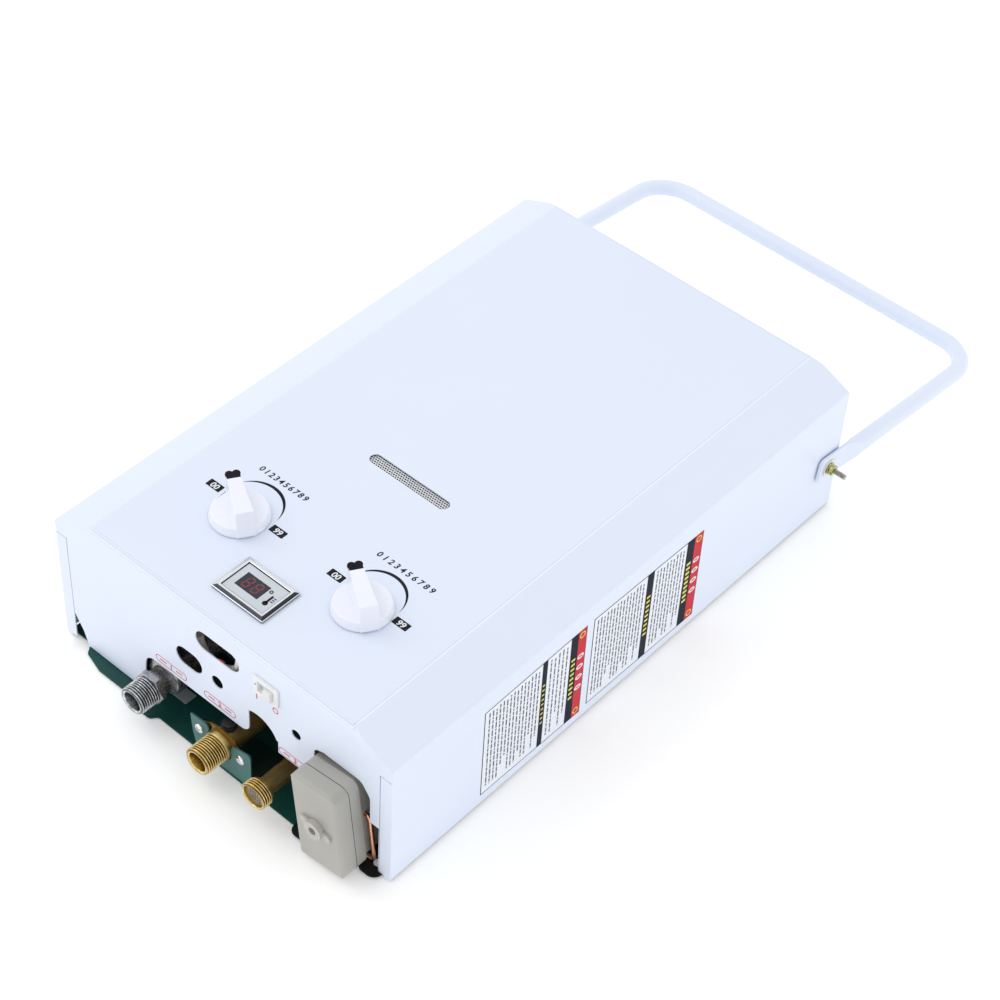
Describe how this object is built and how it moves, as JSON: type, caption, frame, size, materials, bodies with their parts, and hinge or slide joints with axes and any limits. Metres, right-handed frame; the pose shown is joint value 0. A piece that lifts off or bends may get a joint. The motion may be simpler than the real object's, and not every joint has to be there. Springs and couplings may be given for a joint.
{
  "type": "portable gas water heater",
  "caption": "Flat white portable instant gas water heater with threaded gas and water ports, two turning knobs, a small display, a battery box and a folding carrying handle.",
  "frame": {"origin": "centre line of the heater on the rear face of its back plate, in the plane of the pipe end's wall", "axes": "+X to the heater's right, +Y from the pipe end to the handle end, +Z out of the front panel"},
  "size_m": [0.336, 0.6732, 0.144],
  "materials": {
    "white_enamel": "smooth cool white powder coat",
    "green_paint": "dark green paint, satin",
    "teal_paint": "teal paint, satin",
    "black_paint": "black paint, satin",
    "zinc_casting": "dull grey casting with bright worn edges",
    "brass": "turned brass, bright",
    "brass_casting": "cast brass, dull",
    "bright_steel": "zinc-plated steel, bright",
    "stud_steel": "plain steel thread, slightly brown",
    "yellow_zinc": "yellow zinc plating",
    "galvanised": "galvanised sheet, matt",
    "burner_steel": "stainless sheet, heat-tinted",
    "copper": "copper, lightly tarnished",
    "white_ceramic": "glazed white ceramic",
    "white_plastic": "cool white moulded plastic, gloss",
    "slider_plastic": "light grey plastic",
    "black_plastic": "black plastic",
    "red_plastic": "red plastic",
    "grey_plastic": "warm grey moulded plastic, satin",
    "cell_sleeve": "plain printed sleeve",
    "contact_metal": "nickel-plated spring metal",
    "display_chrome": "polished metal-look frame",
    "display_silver": "silver print, satin",
    "display_dark": "dark smoked window with dim red digits",
    "rubber": "black rubber",
    "solenoid_coil": "blue wrapped coil",
    "filter_mesh": "woven steel in a dark plastic ring",
    "wire_cover": "coloured cable insulation"
  },
  "bodies": {
    "housing": {"front_cover": "white_enamel", "view_mesh": "galvanised", "cover_screws": "bright_steel", "back_plate": "green_paint", "outlet_bracket": "teal_paint", "gas_inlet": "zinc_casting", "water_outlet": "brass", "outlet_screws": "bright_steel", "water_inlet": "brass", "inlet_filter": "filter_mesh", "inlet_pipe": "brass", "water_valve_body": "brass_casting", "water_valve_cover": "brass_casting", "diaphragm": "rubber", "valve_screws": "bright_steel", "drain_plug": "black_plastic", "gas_valve_body": "zinc_casting", "gas_solenoid": "solenoid_coil", "microswitch": "black_plastic", "gas_manifold": "burner_steel", "gas_nozzles": "brass", "burner_bars": "burner_steel", "burner_tray": "galvanised", "combustion_chamber": "copper", "exchanger_fins": "copper", "exchanger_tubes": "copper", "hot_pipe": "copper", "cold_pipe": "copper", "flue_hood": "galvanised", "flue_collar": "galvanised", "ignition_box": "black_plastic", "burner_electrodes": "white_ceramic", "outlet_thermostat": "black_plastic", "display_bezel": "display_chrome", "display_panel": "display_silver", "display_window": "display_dark", "display_housing": "white_plastic", "switch_housing": "white_plastic", "battery_bracket": "black_paint", "battery_case": "grey_plastic", "battery_cells": "cell_sleeve", "battery_contacts": "contact_metal", "sensor_tube": "copper", "handle_studs": "stud_steel", "handle_nuts": "yellow_zinc", "handle_washers": "bright_steel", "wiring": "wire_cover"},
    "fire_control": {"fire_knob": "white_plastic", "fire_pointer": "black_plastic", "fire_spindle": "bright_steel"},
    "water_control": {"water_knob": "white_plastic", "water_pointer": "black_plastic", "water_spindle": "brass"},
    "switch": {"switch_slider": "slider_plastic"},
    "battery_lid": {"battery_cover": "grey_plastic"},
    "battery_lock": {"battery_latch": "grey_plastic"},
    "carry_handle": {"handle": "white_enamel"},
    "link": {"link_rod": "bright_steel", "gas_valve_disc": "rubber"},
    "plunger": {"microswitch_plunger": "red_plastic"}
  },
  "joints": [
    {"name": "handle_swing", "type": "hinge", "parent": "housing", "child": "carry_handle", "pos_m": [0, 0.4445, 0.0496], "axis": [1, 0, 0], "range_deg": [-17, 30]},
    {"name": "fire_turn", "type": "hinge", "parent": "housing", "child": "fire_control", "pos_m": [-0.0563, 0.0754, 0.124], "axis": [0, 0, 1], "range_deg": [-140, 0]},
    {"name": "water_turn", "type": "hinge", "parent": "housing", "child": "water_control", "pos_m": [0.055, 0.0726, 0.124], "axis": [0, 0, 1], "range_deg": [-140, 0]},
    {"name": "switch_slide", "type": "slide", "parent": "housing", "child": "switch", "axis": [1, 0, 0], "range_m": [-0.0065, 0]},
    {"name": "battery_lid_slide", "type": "slide", "parent": "housing", "child": "battery_lid", "axis": [0, -1, 0], "range_m": [0, 0.03]},
    {"name": "battery_lock_turn", "type": "hinge", "parent": "battery_lid", "child": "battery_lock", "pos_m": [0.1082, -0.02, 0.0399], "axis": [0, -1, 0], "range_deg": [0, 90]},
    {"name": "link_slide", "type": "slide", "parent": "housing", "child": "link", "axis": [-1, 0, 0], "range_m": [0, 0.004], "stiffness_N_per_m": 500},
    {"name": "plunger_slide", "type": "slide", "parent": "housing", "child": "plunger", "axis": [-1, 0, 0], "range_m": [0, 0.004]}
  ],
  "couplings": [
    {"joint": "plunger_slide", "follows": "link_slide", "ratio": 1}
  ]
}
